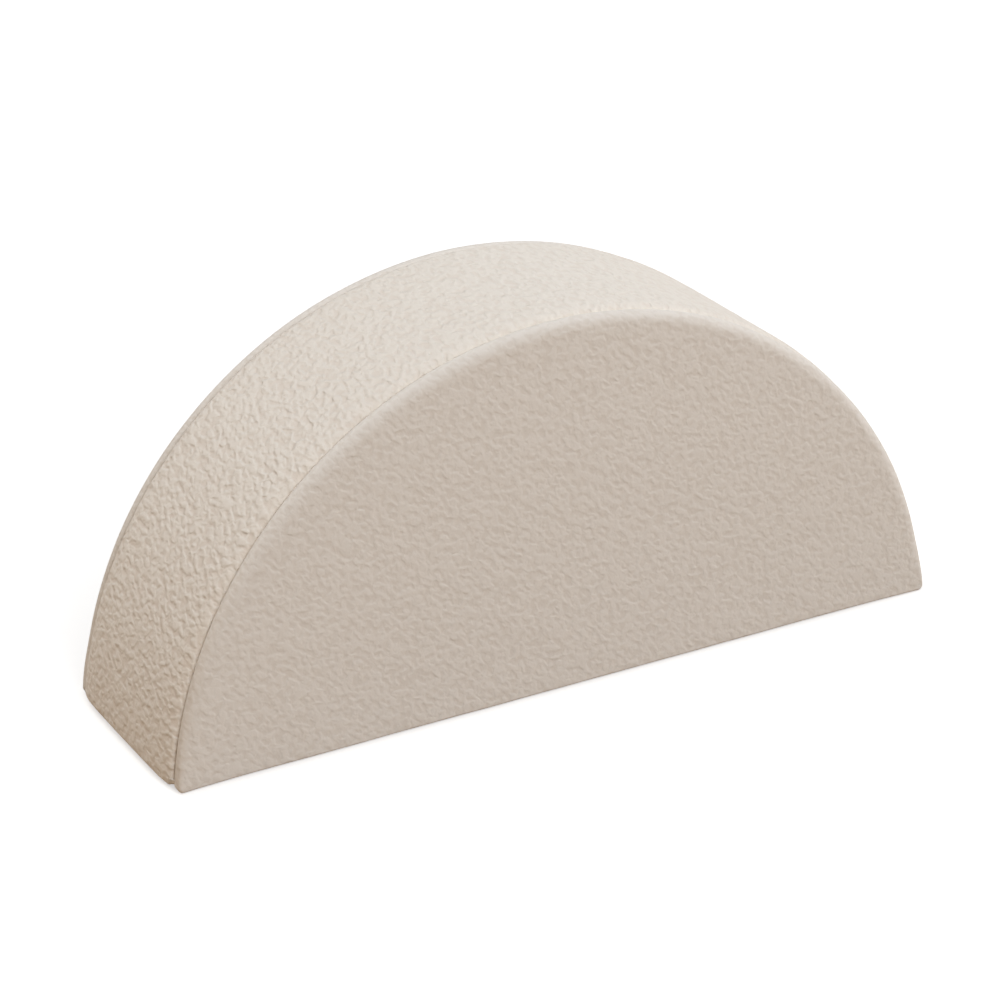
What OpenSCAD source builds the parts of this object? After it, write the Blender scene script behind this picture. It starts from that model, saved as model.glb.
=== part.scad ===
// Half moon bracelet display: a laminated core with a padded, covered arch, a covered panel
// on the front and on the back, and a felt sheet underneath.
// X runs along the base, the front faces -Y, Z is up, and the felt rests on z = 0.

/* [Overall] */
// Length of the panels along their bottom edge, from one end of the arc to the other
base_length = 131; // [110:0.5:220]
// Height of the panels' crown above the surface that the stand rests on
stand_height = 60; // [45:0.5:63]
// How far the felt holds the panels off that surface
foot_gap = 0.3; // [0.1:0.05:0.6]

/* [Core] */
// Thickness of each of the two fibreboard slabs that are glued face to face
slab_t = 16; // [9:0.5:25]

/* [Covering] */
// Thickness of the leatherette on every covered piece
leather_t = 0.6; // [0.4:0.05:1]
// Thickness of the foam sheet under the arch cover
pad_t = 1.5; // [0.8:0.1:3]
// How far the padded arch stands proud of the panels' edges
arch_proud = 0.4; // [0:0.05:0.8]
// Radius of the long edges of the arch cover, where it rolls down into the seams
arch_edge_r = 1.2; // [1.1:0.05:1.4]
// Radius of the arch cover's bend where it turns under the core
arch_corner_r = 0.9; // [0.8:0.1:4]
// Length of the arch cover that is glued under the core at each end
end_flap = 14; // [8:0.5:25]

/* [Panels] */
// Thickness of the stiff card in each panel
board_t = 1.2; // [0.8:0.1:3]
// Radius of the covered edge that runs round each panel's face
panel_edge_r = 1.3; // [1.1:0.1:1.8]
// Radius of each panel's two bottom corners, seen from the front
panel_corner_r = 1.3; // [1.2:0.1:4]
// Width of the covering that is folded behind each panel
turn_in = 8; // [5:0.5:12]
// Spacing of the tabs that the folded covering is cut into round the arc
tab_pitch = 10; // [6:0.5:16]
// Gap between neighbouring tabs at their free ends
tab_gap = 1.2; // [0.6:0.1:2]
// Covering that is left uncut between each slit and the fold
tab_root = 1; // [0.6:0.1:2.5]

/* [Levelling cards] */
// Clearance between a levelling card and the covering that it lies beside
card_clearance = 0.5; // [0.2:0.1:1.5]

/* [Base] */
// Thickness of the felt sheet
felt_t = 0.5; // [0.4:0.1:2]
// How far the felt stops short of the arch cover's ends and sides
felt_inset = 1.5; // [0.5:0.1:4]
// Radius of the felt's corners
felt_corner_r = 3; // [1:0.5:8]

/* [Hidden] */
$fn = 128;

// The arc through the two ends of the panels' bottom edge and the crown
half_chord = base_length / 2;
rise = stand_height - foot_gap;
panel_r = (half_chord * half_chord + rise * rise) / (2 * rise);
arc_z = stand_height - panel_r;

// Outer radii of the arch cover and of the core inside it
arch_r = panel_r + arch_proud;
core_r = arch_r - leather_t - pad_t;

// Distances from the middle of the stand to the core's faces and to the panels' faces
core_y = slab_t;
panel_t = board_t + 2 * leather_t;
face_y = core_y + panel_t;

// Far enough past a face for a clean cut
spill = 1;

// How far the round bottom corners stand out past a true tangent radius
corner_ease = 0.08;

// An outline is [arc radius, height of the flat bottom, radius of the two bottom corners]
panel_outline = [panel_r, foot_gap, panel_corner_r];
arch_outline = [arch_r, felt_t, arch_corner_r];

// The outline moved inwards by a distance, with its corners kept concentric
function inset(outline, by) = [outline[0] - by, outline[1] + by, max(outline[2] - by, 0)];

// How far the centre of a corner's radius lies in from the arc and from the flat bottom
function corner_in(outline) = max(outline[2] - corner_ease, 0);

// The height of that centre
function corner_z(outline) = outline[1] + corner_in(outline);

// Its distance from the middle of the stand
function corner_x(outline) =
    sqrt(pow(outline[0] - corner_in(outline), 2) - pow(corner_z(outline) - arc_z, 2));

// Stands a flat shape drawn in X and Z up between two depths
module between(y_from, y_to) {
    translate([0, y_to, 0])
        rotate([90, 0, 0])
            linear_extrude(y_to - y_from)
                children();
}

// What the radius of the two bottom corners takes off a half moon
module corner_waste(outline) {
    r = outline[0];
    c = outline[2];
    x = corner_x(outline);
    z = corner_z(outline);
    reach = [x, z - arc_z] * 2;
    if (c > corner_ease)
        for (side = [0, 1])
            mirror([side, 0])
                difference() {
                    polygon([[x, z], [x, z - r], [x + r, z - r], [x, z] + reach]);
                    translate([x, z])
                        circle(c);
                }
}

// Half moon with round bottom corners, drawn flat
module moon_2d(outline) {
    r = outline[0];
    difference() {
        intersection() {
            translate([0, arc_z])
                circle(r);
            translate([-r - spill, outline[1]])
                square(2 * (r + spill));
        }
        corner_waste(outline);
    }
}

// Section through an edge: width outwards along X, thickness along Y, outer corners rounded
module edge_section(width, y_from, y_to, front_r, rear_r) {
    difference() {
        translate([0, y_from])
            square([width, y_to - y_from]);
        translate([width, y_from])
            edge_waste(front_r);
        translate([width, y_to])
            mirror([0, 1])
                edge_waste(rear_r);
    }
}

// What a radius takes off one corner of a section
module edge_waste(r) {
    if (r > 0)
        difference() {
            translate([-r, -spill])
                square([r + spill, r + spill]);
            translate([-r, r])
                circle(r);
        }
}

// Half moon block between two depths, with a radius round the edge of its front and rear faces:
// the part of a disc that lies above a flat bottom
module moon_block(outline, y_from, y_to, front_r, rear_r) {
    reach = outline[0] + spill;
    top = stand_height + spill;
    difference() {
        intersection() {
            translate([0, 0, arc_z])
                rotate([90, 0, 0])
                    rotate_extrude()
                        mirror([0, 1])
                            edge_section(outline[0], y_from, y_to, front_r, rear_r);
            translate([-reach, 0, top])
                rotate([90, 0, 90])
                    linear_extrude(2 * reach)
                        rotate(-90)
                            edge_section(top - outline[1], y_from, y_to, front_r, rear_r);
        }
        between(y_from - spill, y_to + spill)
            corner_waste(outline);
    }
}

// One of the two slabs that make the core
module core_slab(y_from, y_to) {
    color("burlywood")
        between(y_from, y_to)
            intersection() {
                moon_2d(inset(arch_outline, leather_t));
                translate([0, arc_z])
                    circle(core_r);
            }
}

// The block that the arch cover is drawn over, with its long edges rounded under the cover's
module padded_block() {
    half_y = core_y - leather_t;
    edge_r = arch_edge_r - leather_t;
    moon_block(inset(arch_outline, leather_t), -half_y, half_y, edge_r, edge_r);
}

// Foam sheet bent over the core, ending in the bend of the cover above the base
module arch_padding() {
    color("whitesmoke")
        difference() {
            padded_block();
            between(-core_y - spill, core_y + spill)
                translate([0, arc_z])
                    circle(core_r);
        }
}

// Strip of leatherette over the foam. Its long edges are turned down over the foam's sides,
// and its ends are turned under the core.
module arch_cover() {
    under = inset(arch_outline, leather_t);
    flap_end = corner_x(arch_outline) - end_flap;
    color("antiquewhite")
        difference() {
            moon_block(arch_outline, -core_y, core_y, arch_edge_r, arch_edge_r);
            padded_block();
            between(-core_y - spill, core_y + spill)
                intersection() {
                    moon_2d(under);
                    translate([0, arc_z])
                        circle(core_r);
                }
            translate([-flap_end, -core_y - spill, felt_t - spill])
                cube([2 * flap_end, 2 * (core_y + spill), leather_t + 2 * spill]);
        }
}

// Stiff card of the front panel, with its front edge eased to suit the covering
module board() {
    color("tan")
        moon_block(
            inset(panel_outline, leather_t),
            leather_t - face_y, leather_t + board_t - face_y,
            panel_edge_r - leather_t, 0
        );
}

// Slits that let the folded covering lie flat round the arc
module tab_slits(y_from, y_to) {
    root_r = panel_r - leather_t - tab_root;
    free_r = panel_r - turn_in - spill;
    // a slit widens evenly from its root to the tabs' free ends
    half_gap = tab_gap / 2 * (root_r - free_r) / (root_r - free_r - spill);
    ends = asin((foot_gap + turn_in - arc_z) / free_r);
    span = 180 - 2 * ends;
    count = max(2, round(span * PI / 180 * panel_r / tab_pitch));
    between(y_from, y_to)
        translate([0, arc_z])
            for (i = [0 : count])
                rotate(ends + i * span / count - 90)
                    polygon([[0, root_r], [-half_gap, free_r], [half_gap, free_r]]);
}

// Leatherette drawn over the front board and folded behind it
module cover() {
    rear_y = -core_y;
    color("antiquewhite")
        difference() {
            moon_block(panel_outline, -face_y, rear_y, panel_edge_r, leather_t);
            board();
            between(rear_y - leather_t - board_t / 2, rear_y + spill)
                moon_2d(inset(panel_outline, turn_in));
            tab_slits(rear_y - leather_t, rear_y + spill);
        }
}

// Card that fills the hollow inside the folded covering, so that the panel lies flat
module levelling_card() {
    color("lightgray")
        between(-core_y - leather_t, -core_y)
            moon_2d(inset(panel_outline, turn_in + card_clearance));
}

// Card between the arch cover's two end flaps
module base_levelling_card() {
    half_x = corner_x(arch_outline) - end_flap - card_clearance;
    half_y = core_y - card_clearance;
    color("lightgray")
        translate([-half_x, -half_y, felt_t])
            cube([2 * half_x, 2 * half_y, leather_t]);
}

// Felt sheet that the stand rests on
module base_felt() {
    half_x = corner_x(arch_outline) + arch_outline[2] - felt_inset;
    half_y = core_y - felt_inset;
    color("gainsboro")
        linear_extrude(felt_t)
            union() {
                square([2 * (half_x - felt_corner_r), 2 * half_y], center = true);
                square([2 * half_x, 2 * (half_y - felt_corner_r)], center = true);
                for (sx = [-1, 1], sy = [-1, 1])
                    translate([sx * (half_x - felt_corner_r), sy * (half_y - felt_corner_r)])
                        circle(felt_corner_r);
            }
}

// The back panel is the front one turned round
module behind() {
    mirror([0, 1, 0])
        children();
}

core_slab(-core_y, 0);  // core_slab_front
core_slab(0, core_y);  // core_slab_back
arch_padding();
arch_cover();
board();  // front_board
cover();  // front_cover
levelling_card();  // front_levelling_card
behind() board();  // back_board
behind() cover();  // back_cover
behind() levelling_card();  // back_levelling_card
base_levelling_card();
base_felt();
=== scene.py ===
# %% [markdown]
# # Half moon bracelet display
# The real object is a small shop fitting: a half moon block of fibreboard, wrapped in cream
# leatherette, with a padded arch on top and a covered panel on the front and on the back. The solid
# model of it is already packed, so this lesson only dresses it. The frame is loaded first, and the
# sizes are read from it, so that the dressed pieces land where the solids are.

import math

import bmesh
import bpy
import numpy as np
from mathutils import Matrix, Vector, noise


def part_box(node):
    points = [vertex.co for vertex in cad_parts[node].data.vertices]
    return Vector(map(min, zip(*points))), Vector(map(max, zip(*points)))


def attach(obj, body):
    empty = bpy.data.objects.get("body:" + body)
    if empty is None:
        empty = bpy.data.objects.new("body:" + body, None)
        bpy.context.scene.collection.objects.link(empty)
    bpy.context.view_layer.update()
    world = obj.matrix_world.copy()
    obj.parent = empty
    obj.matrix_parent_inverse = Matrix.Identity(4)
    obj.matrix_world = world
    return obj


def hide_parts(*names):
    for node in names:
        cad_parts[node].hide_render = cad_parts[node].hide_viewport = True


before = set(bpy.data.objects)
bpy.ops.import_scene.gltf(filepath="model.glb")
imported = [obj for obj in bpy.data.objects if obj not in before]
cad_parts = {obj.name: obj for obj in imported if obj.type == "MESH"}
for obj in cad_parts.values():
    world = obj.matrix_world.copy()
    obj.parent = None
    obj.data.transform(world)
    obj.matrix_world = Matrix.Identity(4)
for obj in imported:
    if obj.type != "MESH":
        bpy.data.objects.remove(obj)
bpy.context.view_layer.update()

# %% [markdown]
# The outline of every covered piece is the same shape: an arc of a circle over a flat bottom, with
# two small round corners. Three numbers give it. The frame gives all but the length of the base,
# because the round corners hide where the arc would meet the bottom.

# %% Sizes of the half moon
MM = 0.001
BASE_LENGTH = 131 * MM

panel_low, panel_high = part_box("front_cover")
arch_low, arch_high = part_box("arch_cover")
rise = panel_high.z - panel_low.z
panel_radius = ((BASE_LENGTH / 2) ** 2 + rise**2) / (2 * rise)
arc_height = panel_high.z - panel_radius
arch_radius = arch_high.z - arc_height
print("arc radius in mm:", round(panel_radius / MM, 2), "centre height:", round(arc_height / MM, 2))

# %% [markdown]
# The camera stands where the photograph was taken from: half a metre away with a long lens, in
# front of the left end and above it. It could be placed by eye, but three angles are easier to
# correct: a turn, a tilt down and a slight roll. Its matrix is built from the axes that they give.

# %% Camera
def in_scene(name, data):
    """Puts a new object with that data into the scene."""
    made = bpy.data.objects.new(name, data)
    bpy.context.scene.collection.objects.link(made)
    return made


turn, tilt, roll = math.radians(28.48), math.radians(24.73), math.radians(-0.99)
ahead = Vector(
    (math.sin(turn) * math.cos(tilt), math.cos(turn) * math.cos(tilt), -math.sin(tilt))
)
level = Vector((math.cos(turn), -math.sin(turn), 0))
upright = level.cross(ahead)
right = level * math.cos(roll) + upright * math.sin(roll)
up = upright * math.cos(roll) - level * math.sin(roll)

camera = in_scene("camera", bpy.data.cameras.new("camera"))
camera.matrix_world = Matrix.Translation((-216.31 * MM, -394.85 * MM, 231.58 * MM)) @ (
    Matrix((right, up, -ahead)).transposed().to_4x4()
)
camera.data.sensor_width = 36
camera.data.lens = 115.79
bpy.context.scene.camera = camera
print("camera looks along", [round(v, 3) for v in ahead])

# %% [markdown]
# Every material and every tree of geometry nodes below is built with one small function, which adds
# a node, sets it and links it. Colours are written as the eye picks them, in sRGB, and a second
# function turns them into the linear values that a renderer needs.

# %% Helpers for nodes and colours
def add_node(tree, kind, sockets=None, **settings):
    """Adds a node. A socket is given by its name or number, with a value or a socket to link."""
    node = tree.nodes.new(kind)
    for name, value in settings.items():
        setattr(node, name, value)
    for key, value in (sockets or {}).items():
        if isinstance(value, bpy.types.NodeSocket):
            tree.links.new(value, node.inputs[key])
        else:
            node.inputs[key].default_value = value
    return node


def linear(hex_colour):
    """Linear colour with alpha, from an sRGB colour such as #e7e1d6."""
    parts = [int(hex_colour[i : i + 2], 16) / 255 for i in (1, 3, 5)]
    parts = [p / 12.92 if p <= 0.04045 else ((p + 0.055) / 1.055) ** 2.4 for p in parts]
    return (*parts, 1)


def new_material(name):
    """An empty node material and its tree."""
    material = bpy.data.materials.new(name)
    material.use_nodes = True
    material.node_tree.nodes.clear()
    return material, material.node_tree


print("mid grey #808080 in linear light:", round(linear("#808080")[0], 3))

# %% [markdown]
# The stage is a plain pale floor. The camera sees it as white, with the object's soft shadow on it.
# To the object the same floor is a warm table that sends a little light back up, which is what makes
# the shaded lower end of the stand warm. One floor for both would look grey in this light, or need
# so much light that the stand turns pale, so Light Path tells the two apart. The floor's own glow
# rises with the distance from the object, so that it stays white where the lamps no longer reach.

# %% Floor
GLOW_NEAR, GLOW_FAR = 0.2, 0.9


def seen_by_camera(tree):
    """One where a ray comes from the camera, straight or by way of a mirror or glass."""
    path = add_node(tree, "ShaderNodeLightPath")
    first = add_node(
        tree, "ShaderNodeMath", {0: path.outputs["Is Camera Ray"], 1: path.outputs["Is Glossy Ray"]},
        operation="ADD",
    )
    return add_node(
        tree, "ShaderNodeMath", {0: first.outputs[0], 1: path.outputs["Is Transmission Ray"]},
        operation="ADD", use_clamp=True,
    ).outputs[0]


# matt paint: no gloss, so the floor shows the shadow and no reflection
floor_paint, tree = new_material("matt_painted_table")
table = add_node(tree, "ShaderNodeBsdfDiffuse", {"Color": linear("#967548")})
paper = add_node(tree, "ShaderNodeBsdfDiffuse", {"Color": linear("#dadada")})
spot = add_node(tree, "ShaderNodeTexCoord").outputs["Object"]
away = add_node(tree, "ShaderNodeVectorMath", {0: spot}, operation="LENGTH").outputs["Value"]
fade = add_node(
    tree, "ShaderNodeMapRange",
    {"Value": away, "From Min": GLOW_NEAR, "From Max": GLOW_FAR, "To Min": 0.55, "To Max": 1.0},
).outputs[0]
glow = add_node(tree, "ShaderNodeEmission", {"Color": linear("#ffffff"), "Strength": fade})
white = add_node(tree, "ShaderNodeAddShader", {0: paper.outputs[0], 1: glow.outputs[0]})
both = add_node(
    tree, "ShaderNodeMixShader",
    {0: seen_by_camera(tree), 1: table.outputs[0], 2: white.outputs[0]},
)
add_node(tree, "ShaderNodeOutputMaterial", {"Surface": both.outputs[0]})

floor_mesh = bpy.data.meshes.new("floor")
floor_mesh.from_pydata([(-4, -4, 0), (4, -4, 0), (4, 4, 0), (-4, 4, 0)], [], [(0, 1, 2, 3)])
floor_mesh.materials.append(floor_paint)
floor = in_scene("floor", floor_mesh)
print("the floor glows from", GLOW_NEAR, "to", GLOW_FAR, "m away")

# %% [markdown]
# The world does the same: a white backdrop for the camera, and a weak even light for the object, as
# from the walls of a room. A strong one would fill the seams and take the shape off the grain.

# %% World
ROOM_LIGHT = 0.19

world = bpy.data.worlds.new("studio")
bpy.context.scene.world = world
world.use_nodes = True
tree = world.node_tree
tree.nodes.clear()
room = add_node(tree, "ShaderNodeBackground", {"Color": linear("#ffffff"), "Strength": ROOM_LIGHT})
backdrop = add_node(tree, "ShaderNodeBackground", {"Color": linear("#ffffff"), "Strength": 1})
both = add_node(
    tree, "ShaderNodeMixShader",
    {0: seen_by_camera(tree), 1: room.outputs[0], 2: backdrop.outputs[0]},
)
add_node(tree, "ShaderNodeOutputWorld", {"Surface": both.outputs[0]})
bpy.context.scene.view_settings.view_transform = "Standard"
print("room light:", ROOM_LIGHT)

# %% [markdown]
# Four soft boxes light the stand. The key stands in front, rather low, so that the face is lit
# evenly and its rolled edge stays soft. One low on the right lights the far end, one behind and
# above gives the pale top of the arch, and a weak one keeps the left end warm. Their places and
# strengths were fitted to the light along the arch, round the edges and on the face, at a level at
# which a plain colour renders about as it is written.

# %% Lamps
LAMPS = [
    ("key", (0.00, -0.89, 0.68), 0.6, 6.1, "#ffffff"),
    ("low_right", (1.03, -0.18, 0.37), 0.6, 4.0, "#ffffff"),
    ("back", (-0.26, 0.60, 0.90), 0.8, 4.9, "#ffffff"),
    ("warm_left", (-1.00, 0.05, 0.15), 0.6, 1.4, "#ffdcac"),
]
for name, place, size, watts, colour in LAMPS:
    lamp = bpy.data.lights.new(name, "AREA")
    lamp.size = size
    lamp.energy = watts
    lamp.color = linear(colour)[:3]
    holder = in_scene(name, lamp)
    holder.location = place
    from_stand = Vector(place) - Vector((0, 0, 30 * MM))
    holder.rotation_euler = from_stand.to_track_quat("Z", "Y").to_euler()
    print("lamp:", name, watts, "W")

# %% [markdown]
# Leatherette is a thin plastic skin on a cloth back, pressed with a leather grain while it is soft.
# The grain is a crowd of low swellings with soft valleys between them, a little longer one way than
# the other. A photograph of leather would have to be laid round every edge, so noise is used here.
# A smooth noise gives the swellings, and a soft step rounds their tops. A finer noise wrinkles them,
# and a slow one keeps the sheet from being dead flat. On the panels the swellings are stretched
# along a slant. On the arch the skin is drawn over foam: they are deeper and run across the strip.

# %% Leatherette
SLANT = (0.0, math.radians(44), 0.0)
ACROSS = (0.0, 0.0, math.radians(90))
SLOW_WAVE = 3.4 * MM


def leatherette(name, grain, depth, top, valley_shade, seed, drawn=1.25, way=SLANT, wrinkles=0.33):
    """Leatherette whose swellings have a size and a depth, and are drawn out one way."""
    material, tree = new_material(name)
    place = add_node(tree, "ShaderNodeTexCoord").outputs["Object"]
    shifted = add_node(
        tree, "ShaderNodeMapping",
        {"Vector": place, "Location": (seed, seed * 0.7, seed * 1.3),
         "Rotation": way, "Scale": (drawn, 1.0, 1.0)},
        vector_type="TEXTURE",
    ).outputs[0]
    crowd, fine, slow = [
        add_node(
            tree, "ShaderNodeTexNoise",
            {"Vector": shifted, "Scale": 1 / size, "Detail": detail, "Distortion": bend},
        ).outputs["Fac"]
        for size, detail, bend in [(grain, 0.6, 0.3), (0.4 * grain, 1.0, 0.0), (SLOW_WAVE, 1.0, 0.0)]
    ]
    height, tops = [
        add_node(
            tree, "ShaderNodeMapRange", {"Value": crowd, "From Min": low, "From Max": high},
            interpolation_type="SMOOTHSTEP",
        ).outputs[0]
        for low, high in [(0.22, 0.76), (0.34, 0.50)]
    ]
    for value, share in [(fine, wrinkles), (slow, 0.9)]:
        height = add_node(
            tree, "ShaderNodeMath", {0: value, 1: share, 2: height}, operation="MULTIPLY_ADD"
        ).outputs[0]
    bump = add_node(
        tree, "ShaderNodeBump", {"Height": height, "Strength": 1.0, "Distance": depth}
    ).outputs[0]
    # painted shade: the tone is a little darker in the valleys of the grain, where shade falls
    tone = add_node(
        tree, "ShaderNodeMix", {"Factor": tops, "A": linear(valley_shade), "B": linear(top)},
        data_type="RGBA",
    ).outputs["Result"]
    shader = add_node(
        tree, "ShaderNodeBsdfPrincipled",
        {"Base Color": tone, "Roughness": 0.62, "IOR": 1.48, "Normal": bump},
    )
    add_node(tree, "ShaderNodeOutputMaterial", {"Surface": shader.outputs[0]})
    print("material:", name, "with swellings of", round(grain / MM, 2), "mm")
    return material

# %% [markdown]
# The two panels are cut from the same roll, so they share their sizes and colours and differ only in
# which part of the pattern they show. The arch shows what pulling does to the same skin, and its
# colours are painted a little paler, as painted light on the top of the stand.

# %% The three coverings
# PVC skin pressed with a fine grain, its swellings a little under a millimetre wide: a dull satin,
# with painted shade that makes the valleys hardly darker than the tops
PRESSED = (0.85 * MM, 0.078 * MM, "#e9e3dc", "#e4ddd5")
front_grain = leatherette("leatherette_pressed", *PRESSED, 0.3)
back_grain = leatherette("leatherette_pressed_back", *PRESSED, 1.1)

# the same skin stretched over foam: the grain opens, so it is coarser and takes more shade, with
# painted shade in its valleys; its colours are a little paler than the panels', as painted light on
# top
arch_grain = leatherette(
    "leatherette_stretched", 0.95 * MM, 0.185 * MM, "#eee7de", "#eae1d7", 0.7, 1.3, ACROSS, 0.15
)

# %% [markdown]
# A ring is one closed line of points round a half moon. Rings drawn at different distances inside
# the outline have the same number of points, so joining each ring to the next gives the skin. A disc
# cut with a Boolean would be quicker, but it leaves long thin faces that shade badly. Points are
# spent where the shape turns: in the two corners, and at the slits of the folded edge. The first
# slit is as far up the arc as the folded edge along the base reaches.

# %% Rings round a half moon
TABS = 17
BASE_POINTS, TURN_POINTS, PER_TAB = 160, 12, 18
SLIT_START = math.radians(14.36)
LEAST_STRETCH = 0.002
PANEL_CORNER = 0.9 * MM


def corner_of(radius, flat, corner):
    """Centre of the right-hand round corner, and the angle at which the arc leaves it."""
    z = flat + corner
    x = math.sqrt((radius - corner) ** 2 - (z - arc_height) ** 2)
    return x, z, math.atan2(z - arc_height, x)


def moon_ring(radius, flat, corner):
    """Closed ring of (x, z) points: along the flat bottom, then up and over the arc."""
    x, z, leave = corner_of(radius, flat, corner)
    along = np.linspace(-x, x, BASE_POINTS, endpoint=False)
    bottom = np.column_stack([along, np.full(BASE_POINTS, flat)])
    angles = np.linspace(-math.pi / 2, leave, TURN_POINTS, endpoint=False)
    bend = np.column_stack([x + corner * np.cos(angles), z + corner * np.sin(angles)])
    start = max(SLIT_START, leave + LEAST_STRETCH)
    arc = np.concatenate([
        np.linspace(leave, start, PER_TAB, endpoint=False),
        np.linspace(start, math.pi - start, TABS * PER_TAB, endpoint=False),
        np.linspace(math.pi - start, math.pi - leave, PER_TAB, endpoint=False),
    ])
    over = np.column_stack([radius * np.cos(arc), arc_height + radius * np.sin(arc)])
    other = np.linspace(math.pi - leave, 3 * math.pi / 2, TURN_POINTS, endpoint=False)
    last = np.column_stack([-x + corner * np.cos(other), z + corner * np.sin(other)])
    return np.concatenate([bottom, bend, over, last])


ring_size = len(moon_ring(panel_radius, panel_low.z, PANEL_CORNER))
print("points in a ring:", ring_size)

# %% [markdown]
# The covering of a panel is one sheet, drawn over the board and folded behind it. A Bevel modifier
# would give every edge one radius. The real edge is soft round the arc, where the sheet is pulled,
# and crisp along the base, so the section is walked in code, once for each: from the fold behind,
# round the thin side and the front edge, and on to the flat of the face.

# %% Section through a panel's covering
SOFT_EDGE = (1.9 * MM, 1.3 * MM)
CRISP_EDGE = (0.5 * MM, 0.5 * MM)
SQUARENESS = 2.15
FOLD = 0.9 * MM
panel_depth = panel_high.y - panel_low.y


def panel_section(width, depth):
    """(inset, height above the rear of the panel) from the fold to the flat of the face."""
    rows = [
        (FOLD * (1 - math.sin(a)), FOLD * (1 - math.cos(a))) for a in np.linspace(0, math.pi / 2, 7)
    ]
    rows.append((0.0, (FOLD + panel_depth - SOFT_EDGE[1]) / 2))
    for angle in np.linspace(0, math.pi / 2, 12):
        inset = width * (1 - math.cos(angle) ** (2 / SQUARENESS))
        rows.append((inset, panel_depth - depth * (1 - math.sin(angle) ** (2 / SQUARENESS))))
    return rows + [(inset * MM, panel_depth) for inset in (2.4, 3.2, 4.2)]


print("points in a section:", len(panel_section(*SOFT_EDGE)))

# %% [markdown]
# Each point of a section becomes a ring in space. The soft and the crisp ring have the same points,
# so one can be faded into the other: soft on the arc, crisp along the base, with an even change
# between them just above each corner.

# %% Rings of a panel's covering
LEAST_CORNER = 0.02 * MM
slits_from = BASE_POINTS + TURN_POINTS + PER_TAB
slits_to = slits_from + TABS * PER_TAB


def ring_at(inset, height):
    """A ring of (x, y, z) points of the front panel, at that distance inside its outline."""
    corner = max(PANEL_CORNER - inset, LEAST_CORNER)
    flat = moon_ring(panel_radius - inset, panel_low.z + inset, corner)
    return np.column_stack([flat[:, 0], np.full(len(flat), panel_high.y - height), flat[:, 1]])


def on_the_arc():
    """One for the ring's points on the arc, falling to zero at the corners and along the base."""
    share = np.ones(ring_size)
    share[: slits_from - PER_TAB] = 0
    share[ring_size - TURN_POINTS :] = 0
    fade = (1 - np.cos(np.linspace(0, math.pi, PER_TAB))) / 2
    share[slits_from - PER_TAB : slits_from] = fade
    share[ring_size - TURN_POINTS - PER_TAB : ring_size - TURN_POINTS] = fade[::-1]
    return share[:, None]


print("slits between points", slits_from, "and", slits_to)

# %% [markdown]
# Behind the board the sheet is turned in. Round the arc it would pucker there, so a maker slits it
# into tabs, which spread apart as they are pressed down. Each tab is a small grid of its own, from
# the roots of the slits inwards, and its sides lean away from its neighbours. Along the base the
# sheet lies flat without a slit.

# %% Tabs behind the panel
TURN_IN = 8 * MM
TAB_GAP = 1.2 * MM
TAB_ROOT = 1 * MM
TAB_STEPS = 5


def tab_strip(first, last):
    """The turned-in sheet between two points of the ring, as rows from the slits' roots inwards."""
    slit = first >= slits_from and last <= slits_to
    rows = []
    for step in range(TAB_STEPS + 1):
        share = step / TAB_STEPS
        inset = FOLD + TAB_ROOT + share * (TURN_IN - FOLD - TAB_ROOT)
        ring = ring_at(inset, 0.0)
        line = [ring[k % ring_size].copy() for k in range(first, last + 1)]
        rows.append(line)
        if not slit:
            continue
        radius = panel_radius - inset
        lean = share * TAB_GAP / 2 / radius
        for k, point in enumerate(line):
            side = 1 - 2 * k / (len(line) - 1)
            angle = math.atan2(point[2] - arc_height, point[0]) + lean * side
            point[0] = radius * math.cos(angle)
            point[2] = arc_height + radius * math.sin(angle)
    return rows


tabs = [tab_strip(slits_from + t * PER_TAB, slits_from + (t + 1) * PER_TAB) for t in range(TABS)]
tabs.append(tab_strip(slits_to, ring_size + slits_from))
print("tabs:", TABS, "and one long flap along the base")

# %% [markdown]
# A grid of points becomes faces by joining each row to the next. The bare sheet of a panel is the
# rings of its section, then rings that shrink towards the middle of the face, and last the tabs.

# %% Bare sheet of a panel
FACE_RINGS = 38
FACE_MIDDLE = 0.45 * panel_high.z


def joined(rows, closed):
    """Vertices and quads of a grid of rows."""
    wide = len(rows[0])
    verts = [tuple(p) for row in rows for p in row]
    quads = []
    for r in range(len(rows) - 1):
        for c in range(wide if closed else wide - 1):
            d = (c + 1) % wide
            quads.append((r * wide + c, r * wide + d, (r + 1) * wide + d, (r + 1) * wide + c))
    return verts, quads


def panel_sheet():
    """The bare sheet of the front panel's covering, as vertices and faces."""
    rows = [ring_at(FOLD + TAB_ROOT, 0.0)]
    for soft, crisp in zip(panel_section(*SOFT_EDGE), panel_section(*CRISP_EDGE)):
        over, under = ring_at(*soft), ring_at(*crisp)
        rows.append(under + (over - under) * on_the_arc())
    rim = rows[-1]
    middle = np.array([0, rim[0][1], FACE_MIDDLE])
    rows += [middle + (rim - middle) * scale for scale in np.linspace(1, 0, FACE_RINGS)[1:-1]]
    verts, faces = joined(rows, closed=True)
    last = len(verts) - ring_size
    verts.append(tuple(middle))
    faces += [(last + c, last + (c + 1) % ring_size, len(verts) - 1) for c in range(ring_size)]
    for tab in tabs:
        start = len(verts)
        more_verts, more_faces = joined(tab, closed=False)
        verts += more_verts
        faces += [tuple(start + v for v in reversed(face)) for face in more_faces]
    return verts, faces


print("points in a bare sheet:", len(panel_sheet()[0]))

# %% [markdown]
# A bare sheet becomes a piece in three moves: its points are merged where two parts of it meet and
# its faces are turned outwards, it is written back to a mesh with a material, and a Solidify modifier
# gives it its thickness. That goes inwards, so that the outside stays in place. The foam and the
# felt need the first two moves as well.

# %% Helpers for meshes
TOUCHING = 0.002 * MM


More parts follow.
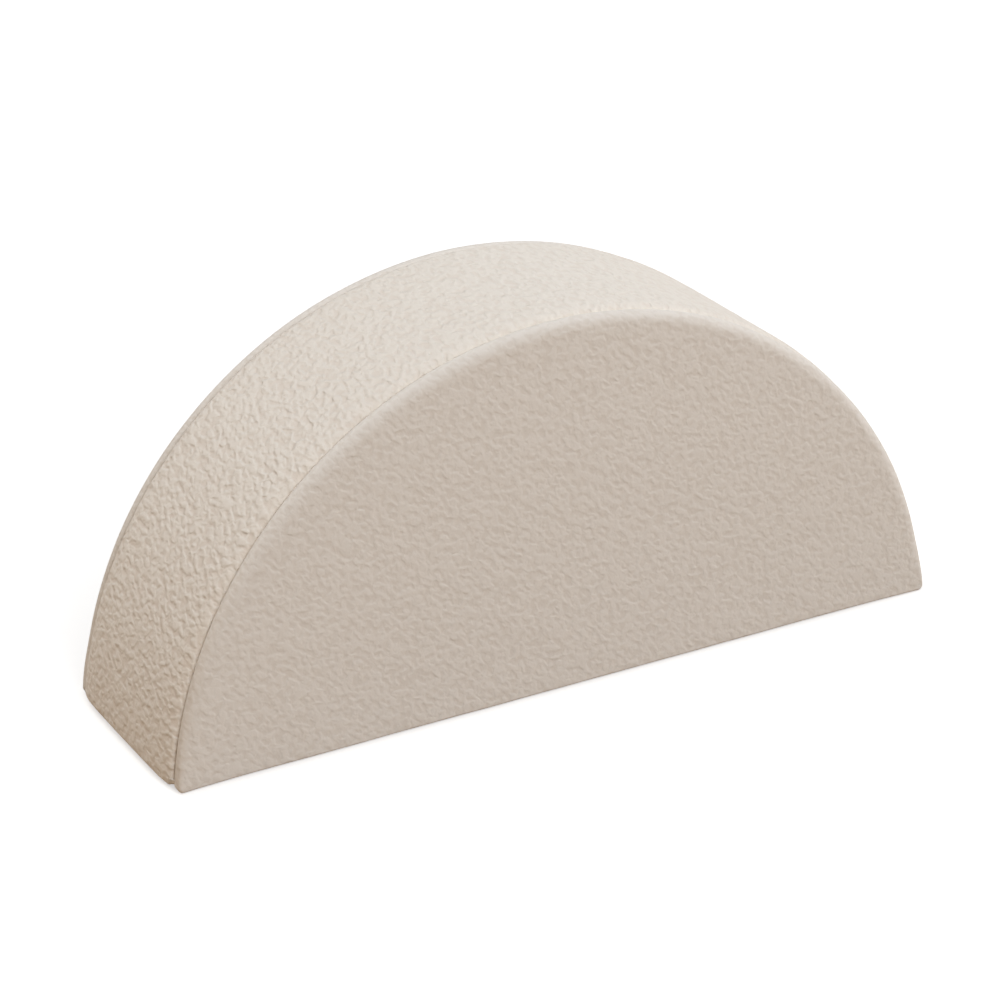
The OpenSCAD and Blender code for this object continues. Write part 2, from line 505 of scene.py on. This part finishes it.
def start_mesh(name, verts, faces):
    """A new mesh and its editable copy, with close points merged and its faces outwards."""
    mesh = bpy.data.meshes.new(name)
    mesh.from_pydata(verts, [], faces)
    work = bmesh.new()
    work.from_mesh(mesh)
    bmesh.ops.remove_doubles(work, verts=work.verts, dist=TOUCHING)
    bmesh.ops.recalc_face_normals(work, faces=work.faces)
    return mesh, work


def end_mesh(mesh, work, material, flat_ends=False):
    """Writes the editable copy back with smooth faces, and makes the piece."""
    for face in work.faces:
        face.smooth = len(face.verts) <= 4 or not flat_ends
    work.to_mesh(mesh)
    work.free()
    mesh.materials.append(material)
    print(mesh.name, "faces:", len(mesh.polygons))
    return in_scene(mesh.name, mesh)


def give_wall(piece, thickness):
    """Thickens a sheet inwards."""
    wall = piece.modifiers.new("thickness", "SOLIDIFY")
    wall.thickness = thickness
    wall.offset = -1
    print(piece.name, "wall in mm:", round(thickness / MM, 2))

# %% [markdown]
# Two things make the sheet look glued and not machined. A slow noise lifts and sinks it by a few
# hundredths of a millimetre, but not on the side that is glued flat, and its two bottom corners
# droop a little. The back panel is the front one turned over, with its own noise.

# %% Covering of the panels
PANEL_WALL = 0.55 * MM
GLUED = 0.4 * MM
DROOP, DROOP_FROM, DROOP_OVER, DROOP_HIGH = 0.25 * MM, 52 * MM, 13 * MM, 7 * MM
GLUE_WAVE = 17 * MM


def unevenness(point, seed):
    """How far the sheet stands up or lies down at a point, in metres."""
    where = Vector(point) / GLUE_WAVE + Vector((seed, 2 * seed, 3 * seed))
    return 0.05 * MM * noise.noise(where) + 0.02 * MM * noise.noise(where * 3)


def cover_panel(name, material, mirror, seed):
    """Makes the covering of the front panel, or of the back one by turning it over."""
    mesh, work = start_mesh(name, *panel_sheet())
    work.normal_update()
    # an open sheet may come out inside out, which a face on its front tells
    front = next(f for f in work.faces if f.calc_center_median().y < panel_low.y + 0.05 * MM)
    if front.normal.y > 0:
        bmesh.ops.reverse_faces(work, faces=work.faces)
        work.normal_update()
    for vert in work.verts:
        loose = min(1, max(0, (panel_high.y - vert.co.y) / GLUED))
        vert.co += vert.normal * unevenness(vert.co, seed) * loose
        outer = min(1, max(0, (abs(vert.co.x) - DROOP_FROM) / DROOP_OVER))
        vert.co.z -= DROOP * outer**2 * max(0, 1 - vert.co.z / DROOP_HIGH)
    if mirror:
        for vert in work.verts:
            vert.co.y = -vert.co.y
        bmesh.ops.reverse_faces(work, faces=work.faces)
    piece = end_mesh(mesh, work, material)
    give_wall(piece, PANEL_WALL)
    return piece


front_leather = cover_panel("front_panel_leather", front_grain, False, 1.0)
back_leather = cover_panel("back_panel_leather", back_grain, True, 5.0)

# %% [markdown]
# The arch is a long strip that follows a path: under the core at one end, round a bend, over the
# foam and under the core again. Its shape follows a rule, so geometry nodes make it, and the path is
# the only thing drawn. At its two ends the strip hangs a little lower than the core, because the
# leather is thick where it is folded under.

# %% Path of the arch
ARCH_CORNER = 0.5 * MM
END_FLAP = 14 * MM
SPACING = 0.5 * MM
SAG, SAG_FROM, SAG_OVER, SAG_HIGH = 0.3 * MM, 64.5 * MM, 1 * MM, 4 * MM


def arch_path():
    """Points along the outer surface of the strip, from one end under the core to the other."""
    corner_x, corner_z, leave = corner_of(arch_radius, arch_low.z, ARCH_CORNER)
    under = [
        (-corner_x + END_FLAP * (1 - t), arch_low.z)
        for t in np.linspace(0, 1, round(END_FLAP / SPACING) + 1)
    ]
    turned = math.pi / 2 + leave
    steps = max(8, round(4 * ARCH_CORNER * turned / SPACING))
    bend = [
        (-corner_x - ARCH_CORNER * math.sin(a), corner_z - ARCH_CORNER * math.cos(a))
        for a in np.linspace(0, turned, steps + 1)[1:-1]
    ]
    count = round(arch_radius * (math.pi - 2 * leave) / SPACING)
    over = [
        (-arch_radius * math.cos(a), arc_height + arch_radius * math.sin(a))
        for a in np.linspace(leave, math.pi / 2, count // 2 + 1)
    ]
    half = []
    for x, z in under + bend + over:
        outer = max(0, min(1, (-x - SAG_FROM) / SAG_OVER))
        half.append((x, z - SAG * (outer * max(0, 1 - z / SAG_HIGH))))
    return half + [(-x, z) for x, z in reversed(half[:-1])]


route_points = arch_path()
curve = bpy.data.curves.new("arch_route", "CURVE")
curve.dimensions = "3D"
spline = curve.splines.new("POLY")
spline.points.add(len(route_points) - 1)
for point, (x, z) in zip(spline.points, route_points):
    point.co = (x, 0, z, 1)
route = in_scene("arch_route", curve)

# %% [markdown]
# A tree of geometry nodes is like a function: it has named inputs and gives back a mesh. Two are
# needed here, one for the strip and one for the fuzz of the felt, so starting and ending a tree are
# written once. It ends by making instances real and setting the material, because an export keeps
# only plain meshes. Running it on a helper object and keeping the result does the same for the tree.

# %% Helpers for geometry nodes
def new_tree(name, inputs):
    """A tree with named inputs, the identifier of each input, and the sockets that give them."""
    tree = bpy.data.node_groups.new(name, "GeometryNodeTree")
    identifiers = {}
    for label, kind in inputs.items():
        made = tree.interface.new_socket(label, in_out="INPUT", socket_type="NodeSocket" + kind)
        identifiers[label] = made.identifier
    tree.interface.new_socket("Mesh", in_out="OUTPUT", socket_type="NodeSocketGeometry")
    return tree, identifiers, add_node(tree, "NodeGroupInput").outputs


def end_tree(tree, shape, material):
    """Makes the tree's instances real and sets their material."""
    real = add_node(tree, "GeometryNodeRealizeInstances", {0: shape}).outputs[0]
    painted = add_node(tree, "GeometryNodeSetMaterial", {0: real, "Material": material}).outputs[0]
    add_node(tree, "NodeGroupOutput", {0: painted})


def run_tree(name, carrier, tree, identifiers, sizes):
    """Runs a tree on a helper object and keeps the result as the mesh of a new object."""
    modifier = carrier.modifiers.new(name, "NODES")
    modifier.node_group = tree
    for label, value in sizes.items():
        modifier[identifiers[label]] = value
    graph = bpy.context.evaluated_depsgraph_get()
    mesh = bpy.data.meshes.new_from_object(carrier.evaluated_get(graph))
    carrier.modifiers.remove(modifier)
    bpy.data.objects.remove(carrier)
    mesh.name = name
    print(name, "faces:", len(mesh.polygons))
    return in_scene(name, mesh)


strip_tree, strip_inputs, given = new_tree("strip_over_a_path", {
    "Path": "Geometry", "Rows": "Int", "Columns": "Int", "Half width": "Float",
    "Edge radius": "Float", "Lip": "Float", "Flap": "Float", "Crown": "Float",
    "End bulge": "Float", "Overhang": "Float", "Pucker": "Float", "Seed": "Float",
    "Material": "Material",
})
print("inputs of the strip:", list(strip_inputs))

# %% [markdown]
# The strip starts as a flat grid, and a formula moves each of its points onto the path. A bevelled
# curve would be simpler, but its section is the same all along. A formula is a long chain of sums,
# so it is written as a table of steps: a name, what is done, and what it is done to, which is a
# number, an input or an earlier step. The first table says how far along the path a point is, and
# whether it is on the arc or on the flap under the core.

# %% Steps along the path
field = dict(given.items())


def work_out(steps):
    """Adds a node for each step, which may name inputs and earlier steps."""
    for name, operation, *values in steps:
        kind, setting = "ShaderNodeMath", "operation"
        if operation == "SMOOTHSTEP":
            kind, setting = "ShaderNodeMapRange", "interpolation_type"
        sockets = {number: field.get(value, value) for number, value in enumerate(values)}
        field[name] = add_node(strip_tree, kind, sockets, **{setting: operation}).outputs[0]


grid = add_node(
    strip_tree, "GeometryNodeMeshGrid",
    {"Size X": 1.0, "Size Y": 2.0, "Vertices X": given["Rows"], "Vertices Y": given["Columns"]},
).outputs["Mesh"]
spot = add_node(strip_tree, "GeometryNodeInputPosition").outputs[0]
place = add_node(strip_tree, "ShaderNodeSeparateXYZ", {0: spot}).outputs
field["x"], field["y"] = place["X"], place["Y"]
field["total"] = add_node(strip_tree, "GeometryNodeCurveLength", {0: given["Path"]}).outputs[0]
work_out([
    ("share", "ADD", "x", 0.5),
    ("run", "MULTIPLY", "share", "total"),
    ("left to run", "SUBTRACT", "total", "run"),
    ("to end", "MINIMUM", "run", "left to run"),
    ("past flap", "ADD", "Flap", 1.6 * MM),
    ("on arc", "SMOOTHSTEP", "to end", "Flap", "past flap"),
])
print("nodes for the place on the path:", len(strip_tree.nodes))

# %% [markdown]
# Across the strip, a point walks from the middle over the level part, round a quarter circle at the
# edge, and down a short lip that disappears into the seam. The walk gives two sizes: how far out the
# point lies, and how far it has dropped. Points are spread so that more of them fall on the edge.

# %% Steps across the strip
work_out([
    ("side", "SIGN", "y"),
    ("off middle", "ABSOLUTE", "y"),
    ("off edge", "SUBTRACT", 1.0, "off middle"),
    ("crowded", "POWER", "off edge", 1.7),
    ("spread", "SUBTRACT", 1.0, "crowded"),
    ("quarter", "MULTIPLY", "Edge radius", math.pi / 2),
    ("level part", "SUBTRACT", "Half width", "Edge radius"),
    ("lip here", "MULTIPLY", "Lip", "on arc"),
    ("to lip", "ADD", "level part", "quarter"),
    ("reach", "ADD", "to lip", "lip here"),
    ("walked", "MULTIPLY", "spread", "reach"),
    ("past level", "SUBTRACT", "walked", "level part"),
    ("on edge", "MAXIMUM", "past level", 0.0),
    ("turned", "DIVIDE", "on edge", "Edge radius"),
    ("angle", "MINIMUM", "turned", math.pi / 2),
    ("past edge", "SUBTRACT", "on edge", "quarter"),
    ("down lip", "MAXIMUM", "past edge", 0.0),
    ("on level", "MINIMUM", "walked", "level part"),
    ("sine", "SINE", "angle"),
    ("round out", "MULTIPLY", "Edge radius", "sine"),
    ("out", "ADD", "on level", "round out"),
    ("cosine", "COSINE", "angle"),
    ("fallen", "SUBTRACT", 1.0, "cosine"),
    ("round down", "MULTIPLY", "Edge radius", "fallen"),
    ("drop", "ADD", "down lip", "round down"),
])
print("nodes with the rolled edges:", len(strip_tree.nodes))

# %% [markdown]
# The foam crowns the strip a little. Low down at the ends it is pinched by the fold, so it bulges
# more there, and the rolled edge stands out over the seam. Both grow over the last 40 mm of the arc.

# %% Steps for the crown and the overhang
BULGE_LENGTH = 40 * MM

work_out([
    ("part", "DIVIDE", "out", "Half width"),
    ("bulge from", "ADD", "Flap", BULGE_LENGTH),
    ("low down", "SMOOTHSTEP", "to end", "bulge from", "Flap"),
    ("bulge", "MULTIPLY", "End bulge", "low down"),
    ("swell", "ADD", "Crown", "bulge"),
    ("swell on arc", "MULTIPLY", "swell", "on arc"),
    ("part to the 5", "POWER", "part", 5.0),
    ("dome", "SUBTRACT", 1.0, "part to the 5"),
    ("crown here", "MULTIPLY", "swell on arc", "dome"),
    ("low on arc", "MULTIPLY", "low down", "on arc"),
    ("part to the 3", "POWER", "part", 3.0),
    ("over seam", "MULTIPLY", "low on arc", "part to the 3"),
    ("dropped", "DIVIDE", "drop", 1.0 * MM),
    ("not dropped", "SUBTRACT", 1.0, "dropped"),
    ("at top", "MAXIMUM", "not dropped", 0.0),
    ("stands out", "MULTIPLY", "over seam", "at top"),
    ("overhang here", "MULTIPLY", "Overhang", "stands out"),
    ("across", "ADD", "out", "overhang here"),
    ("sideways", "MULTIPLY", "across", "side"),
])
print("nodes with the crown:", len(strip_tree.nodes))

# %% [markdown]
# The glued edge leaves small puckers along the seams, about 2 mm apart, and the foam makes the whole
# strip gently uneven. Both are noise: a fine one that counts near the edge only, and a broad one.

# %% Steps for the puckers
for name, long, wide, detail in [("fine", 1.9 * MM, 5 * MM, 2.0), ("broad", 14 * MM, 11 * MM, 1.0)]:
    work_out([("noise x", "DIVIDE", "run", long), ("noise y", "DIVIDE", "sideways", wide)])
    spot = add_node(
        strip_tree, "ShaderNodeCombineXYZ",
        {"X": field["noise x"], "Y": field["noise y"], "Z": given["Seed"]},
    ).outputs[0]
    field[name] = add_node(
        strip_tree, "ShaderNodeTexNoise", {"Vector": spot, "Scale": 1.0, "Detail": detail}
    ).outputs["Fac"]
work_out([
    ("edge from", "SUBTRACT", "Half width", 2.5 * MM),
    ("edge to", "SUBTRACT", "Half width", 0.3 * MM),
    ("near edge", "SMOOTHSTEP", "across", "edge from", "edge to"),
    ("fine waves", "MULTIPLY", "Pucker", "fine"),
    ("puckers", "MULTIPLY", "fine waves", "near edge"),
    ("up or down", "SUBTRACT", "broad", 0.5),
    ("broad size", "MULTIPLY", "Pucker", 1.2),
    ("broad waves", "MULTIPLY", "up or down", "broad size"),
    ("raised", "ADD", "crown here", "broad waves"),
    ("lowered", "ADD", "drop", "puckers"),
    ("lift", "SUBTRACT", "raised", "lowered"),
])
print("nodes with the puckers:", len(strip_tree.nodes))

# %% [markdown]
# Now each point of the grid can be placed: at its spot on the path, moved sideways along Y, and
# lifted along the direction that points out of the arch, which is square to the path and to Y.

# %% Place the strip
on_path = add_node(
    strip_tree, "GeometryNodeSampleCurve", {"Curves": given["Path"], "Factor": field["share"]},
    mode="FACTOR", use_all_curves=True,
).outputs
outward = add_node(
    strip_tree, "ShaderNodeVectorMath", {0: on_path["Tangent"], 1: (0, 1, 0)},
    operation="CROSS_PRODUCT",
).outputs[0]
lifted = add_node(
    strip_tree, "ShaderNodeVectorMath", {0: outward, "Scale": field["lift"]}, operation="SCALE"
).outputs[0]
aside = add_node(strip_tree, "ShaderNodeCombineXYZ", {"Y": field["sideways"]}).outputs[0]
target = on_path["Position"]
for move in (aside, lifted):
    target = add_node(
        strip_tree, "ShaderNodeVectorMath", {0: target, 1: move}, operation="ADD"
    ).outputs[0]
wrapped = add_node(strip_tree, "GeometryNodeSetPosition", {0: grid, "Position": target}).outputs[0]
smooth = add_node(strip_tree, "GeometryNodeSetShadeSmooth", {0: wrapped}).outputs[0]
end_tree(strip_tree, smooth, given["Material"])
print("nodes of the strip:", len(strip_tree.nodes))

# %% [markdown]
# The tree runs once, on the path. Its sizes are those of the real strip: the width of the core, an
# edge rolled to a radius of a little over a millimetre, and 14 mm glued under at each end. The crown,
# the bulge, the overhang and the puckers are all under a millimetre, as on foam this thin.

# %% Arch covering
ARCH_WALL = 0.5 * MM
EDGE_RADIUS = 1.25 * MM
LIP = 0.8 * MM

arch_leather = run_tree("arch_leather", route, strip_tree, strip_inputs, {
    "Rows": 470, "Columns": 64, "Half width": arch_high.y, "Edge radius": EDGE_RADIUS, "Lip": LIP,
    "Flap": END_FLAP, "Crown": 0.10 * MM, "End bulge": 0.70 * MM, "Overhang": 0.8 * MM,
    "Pucker": 0.18 * MM, "Seed": 4.0, "Material": arch_grain,
})
give_wall(arch_leather, ARCH_WALL)

# %% [markdown]
# Foam, felt, fibreboard and greyboard have one thing in common: no gloss, and a fine mottle of two
# tones that comes from their cells or fibres. One function makes all four. The size of the mottle is
# that of the real stuff, or as coarse as it needs to show.

# %% Dull mottled materials
def mottled(name, low, high, grain, depth, roughness, seed=0.0):
    """A dull material with two tones and a bump, both from the same fine noise."""
    material, tree = new_material(name)
    place = add_node(tree, "ShaderNodeTexCoord").outputs["Object"]
    shifted = add_node(
        tree, "ShaderNodeVectorMath", {0: place, 1: (seed, seed, seed)}, operation="ADD"
    ).outputs[0]
    specks = add_node(
        tree, "ShaderNodeTexNoise",
        {"Vector": shifted, "Scale": 1 / grain, "Detail": 4.0, "Roughness": 0.6},
    ).outputs["Fac"]
    share = add_node(
        tree, "ShaderNodeMapRange", {"Value": specks, "From Min": 0.35, "From Max": 0.65}
    ).outputs[0]
    tone = add_node(
        tree, "ShaderNodeMix", {"Factor": share, "A": linear(low), "B": linear(high)},
        data_type="RGBA",
    ).outputs["Result"]
    bump = add_node(
        tree, "ShaderNodeBump", {"Height": share, "Strength": 1.0, "Distance": depth}
    ).outputs[0]
    shader = add_node(
        tree, "ShaderNodeBsdfPrincipled",
        {"Base Color": tone, "Roughness": roughness, "Normal": bump},
    )
    add_node(tree, "ShaderNodeOutputMaterial", {"Surface": shader.outputs[0]})
    print("material:", name, "with specks of", round(grain / MM, 2), "mm")
    return material


# foam blown from polyurethane: open cells a third of a millimetre wide, so it is pitted and dull
foam_cells = mottled("polyurethane_foam_sheet", "#d8d2c4", "#eeeade", 0.35 * MM, 0.10 * MM, 0.95)

# wool felt, pressed: fibres lie every way, so the tone is mottled by their tufts and never shines
felt_fibres = mottled("wool_felt_pressed", "#cfc8bc", "#e4dfd4", 0.25 * MM, 0.08 * MM, 1.0, seed=0.4)

# wood fibres pressed with glue: an even brown with short pale and dark specks
fibreboard = mottled("medium_density_fibreboard", "#a98b66", "#c7aa84", 0.5 * MM, 0.03 * MM, 0.8)

# card made of waste paper: grey, with a slight mottle and no shine
greyboard = mottled("recycled_greyboard", "#a39f98", "#b9b5ad", 0.7 * MM, 0.02 * MM, 0.9)

# %% [markdown]
# Under the arch leather lies a thin foam sheet, cut to the width of the core and glued round it. A
# loose cushion would be blown up with a cloth simulation. This pad is too thin for that, and its
# cover is stretched tight, so its section with two soft outer edges is carried over the arc. It ends
# just above the bend of the leather, and both ends are closed.

# %% Foam under the arch
LEATHER = 0.6 * MM
FOAM = 1.5 * MM
FOAM_EDGE = 0.6 * MM
GAP = 0.04 * MM

foam_outer = arch_radius - LEATHER - GAP
foam_inner = arch_radius - LEATHER - FOAM
foam_half = arch_high.y - LEATHER - GAP
soft_edge = [
    (foam_half - FOAM_EDGE * (1 - math.sin(a)), foam_outer - FOAM_EDGE * (1 - math.cos(a)))
    for a in np.linspace(math.pi / 2, 0, 7)
]
top_half = soft_edge[-1][0]
section = [(foam_half, foam_inner), *soft_edge]
section += [(y, foam_outer) for y in np.linspace(top_half, -top_half, 24)[1:-1]]
section += [(-y, r) for y, r in reversed(soft_edge)] + [(-foam_half, foam_inner)]
foam_start = math.asin((arch_low.z + LEATHER + 0.1 * MM - arc_height) / foam_outer)
rows = [
    [(r * math.cos(a), y, arc_height + r * math.sin(a)) for y, r in section]
    for a in np.linspace(foam_start, math.pi - foam_start, 240)
]


def closed_skin(rows):
    """Vertices and faces of a grid of closed rows, with a face over each end."""
    wide = len(rows[0])
    verts, faces = joined(rows, closed=True)
    return verts, faces + [
        tuple(reversed(range(wide))), tuple(range(len(verts) - wide, len(verts)))
    ]


mesh, work = start_mesh("arch_foam", *closed_skin(rows))
arch_foam = end_mesh(mesh, work, foam_cells, flat_ends=True)

# %% [markdown]
# Underneath is a sheet of felt, cut with scissors to a rectangle with round corners and glued to the
# arch cover's flaps. Felt is pressed wool: no weave, but a mat of fibres that lie every way. It is a
# stack of rings, as the panels are, and a fine noise makes its cut edge ragged. It ends a few
# hundredths of a millimetre above the table, and the fuzz on it reaches down the rest.

# %% Felt underneath
FELT_CORNER = 3 * MM
RAGGED, RAGGED_OVER = 0.12 * MM, 0.3 * MM
felt_low, felt_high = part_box("base_felt")


def felt_ring(inset, z, steps=10, along=60):
    """Closed ring of (x, y, z) points round the felt, that many millimetres inside its outline."""
    inset *= MM
    bend = max(FELT_CORNER - inset, 0.3 * MM)
    half = np.array([felt_high.x - inset - bend, felt_high.y - inset - bend])
    corners = []
    for k, side in enumerate([(1, 1), (-1, 1), (-1, -1), (1, -1)]):
        angles = np.linspace(k, k + 1, steps) * math.pi / 2
        turn = np.column_stack([np.cos(angles), np.sin(angles)]) * bend
        corners.append(half * np.array(side) + turn)
    ring = []
    for k, turn in enumerate(corners):
        following = corners[(k + 1) % 4][0]
        fill = np.linspace(0, 1, along if k % 2 == 0 else along // 4, endpoint=False)[:, None]
        ring += [turn[:-1], turn[-1] + (following - turn[-1]) * fill]
    flat = np.concatenate(ring)
    return np.column_stack([flat, np.full(len(flat), z)])


top, bottom = felt_high.z - 0.01 * MM, felt_low.z + 0.05 * MM
rows = [felt_ring(inset, bottom) for inset in (12, 9, 6, 3, 1.2, 0.5)]
rows += [felt_ring(0.15, bottom + 0.05 * MM), felt_ring(0, (top + bottom) / 2)]
rows += [felt_ring(0.15, top - 0.04 * MM)] + [felt_ring(inset, top) for inset in (0.5, 3, 12)]
mesh, work = start_mesh("felt_sheet", *closed_skin(rows))
for vert in work.verts:
    ragged = RAGGED * noise.noise(vert.co / (0.7 * MM))
    beyond = max(abs(vert.co.x) - felt_high.x, abs(vert.co.y) - felt_high.y)
    if beyond > -RAGGED_OVER:
        vert.co.x += ragged * (1 if vert.co.x < 0 else -1)
        vert.co.y += ragged * (1 if vert.co.y < 0 else -1)
felt_sheet = end_mesh(mesh, work, felt_fibres)

# %% [markdown]
# The fuzz is one short bent fibre, repeated at random places and angles over the sheet's underside
# and rim, with a fixed seed. Hair would be the other way, but hair isn't a mesh and gets lost in an
# export. The fibre is drawn one unit long and scaled to its real length where it is placed.

# %% Tree of the fuzz
fuzz_tree, fuzz_inputs, given = new_tree("fuzz_on_a_sheet", {
    "Sheet": "Geometry", "Per square metre": "Float", "Length": "Float", "Thickness": "Float",
    "Seed": "Int", "Material": "Material",
})
normal = add_node(fuzz_tree, "GeometryNodeInputNormal").outputs[0]
facing = add_node(fuzz_tree, "ShaderNodeSeparateXYZ", {0: normal}).outputs["Z"]
outside = add_node(fuzz_tree, "FunctionNodeCompare", {0: facing, 1: 0.5}, operation="LESS_THAN")
spots = add_node(
    fuzz_tree, "GeometryNodeDistributePointsOnFaces",
    {"Mesh": given["Sheet"], "Selection": outside.outputs[0], "Density": given["Per square metre"],
     "Seed": given["Seed"]},
).outputs
bent = add_node(
    fuzz_tree, "GeometryNodeCurvePrimitiveBezierSegment",
    {"Resolution": 4, "Start": (0.0, 0.0, 0.0), "Start Handle": (0.1, 0.0, 0.12),
     "End Handle": (0.5, 0.2, 0.15), "End": (1.0, 0.35, 0.02)},
).outputs[0]
ring = add_node(
    fuzz_tree, "GeometryNodeCurvePrimitiveCircle", {"Resolution": 3, "Radius": given["Thickness"]},
    mode="RADIUS",
).outputs[0]
fibre = add_node(
    fuzz_tree, "GeometryNodeCurveToMesh", {"Curve": bent, "Profile Curve": ring, "Fill Caps": True}
).outputs[0]
spin = add_node(
    fuzz_tree, "FunctionNodeRandomValue", {2: 0.0, 3: 2 * math.pi, "Seed": given["Seed"]},
    data_type="FLOAT",
)
turned = add_node(
    fuzz_tree, "FunctionNodeRotateEuler",
    {"Rotation": spots["Rotation"], "Axis": (0.0, 0.0, 1.0), "Angle": spin.outputs[1]},
    rotation_type="AXIS_ANGLE", space="LOCAL",
).outputs[0]
scattered = add_node(
    fuzz_tree, "GeometryNodeInstanceOnPoints",
    {"Points": spots["Points"], "Instance": fibre, "Rotation": turned, "Scale": given["Length"]},
).outputs[0]
end_tree(fuzz_tree, scattered, given["Material"])
print("nodes of the fuzz:", len(fuzz_tree.nodes))

# %% [markdown]
# The tree runs on a copy of the felt, and the result is kept as a plain mesh. The table presses the
# fibres flat, so none of their points is left below it.

# %% Fuzz of the felt
LEAST_HEIGHT = 0.01 * MM

carrier = in_scene("fuzz_carrier", felt_sheet.data.copy())
felt_fuzz = run_tree("felt_fuzz", carrier, fuzz_tree, fuzz_inputs, {
    "Per square metre": 700000.0, "Length": 1.1 * MM, "Thickness": 0.02, "Seed": 3,
    "Material": felt_fibres,
})
for vert in felt_fuzz.data.vertices:
    vert.co.z = max(vert.co.z, LEAST_HEIGHT)

# %% [markdown]
# The slabs and the cards are plain flat stock, so a new shape would add nothing. Their solids stay as
# they are and only get a finish.

# %% Finish of the slabs and the cards
for node, stock in [
    ("core_slab_front", fibreboard), ("core_slab_back", fibreboard), ("front_board", greyboard),
    ("back_board", greyboard), ("front_levelling_card", greyboard),
    ("back_levelling_card", greyboard), ("base_levelling_card", greyboard),
]:
    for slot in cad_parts[node].material_slots:
        slot.material = stock
    print(node, "finish:", stock.name)

# %% [markdown]
# Each new piece rides on the one body and stands for the solid that it covers, which is hidden. The
# table also lists the slot of the record for each. The foam is a pad that its tight cover keeps
# almost full.

# %% Tell the frame about the pieces
for piece, node, slot in [
    (front_leather, "front_cover", "leatherette"), (back_leather, "back_cover", "leatherette"),
    (arch_leather, "arch_cover", "leatherette"), (arch_foam, "arch_padding", "foam"),
    (felt_sheet, "base_felt", "felt"),
]:
    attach(piece, "root")
    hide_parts(node)
    print(piece.name, "stands for", node)
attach(felt_fuzz, "root")
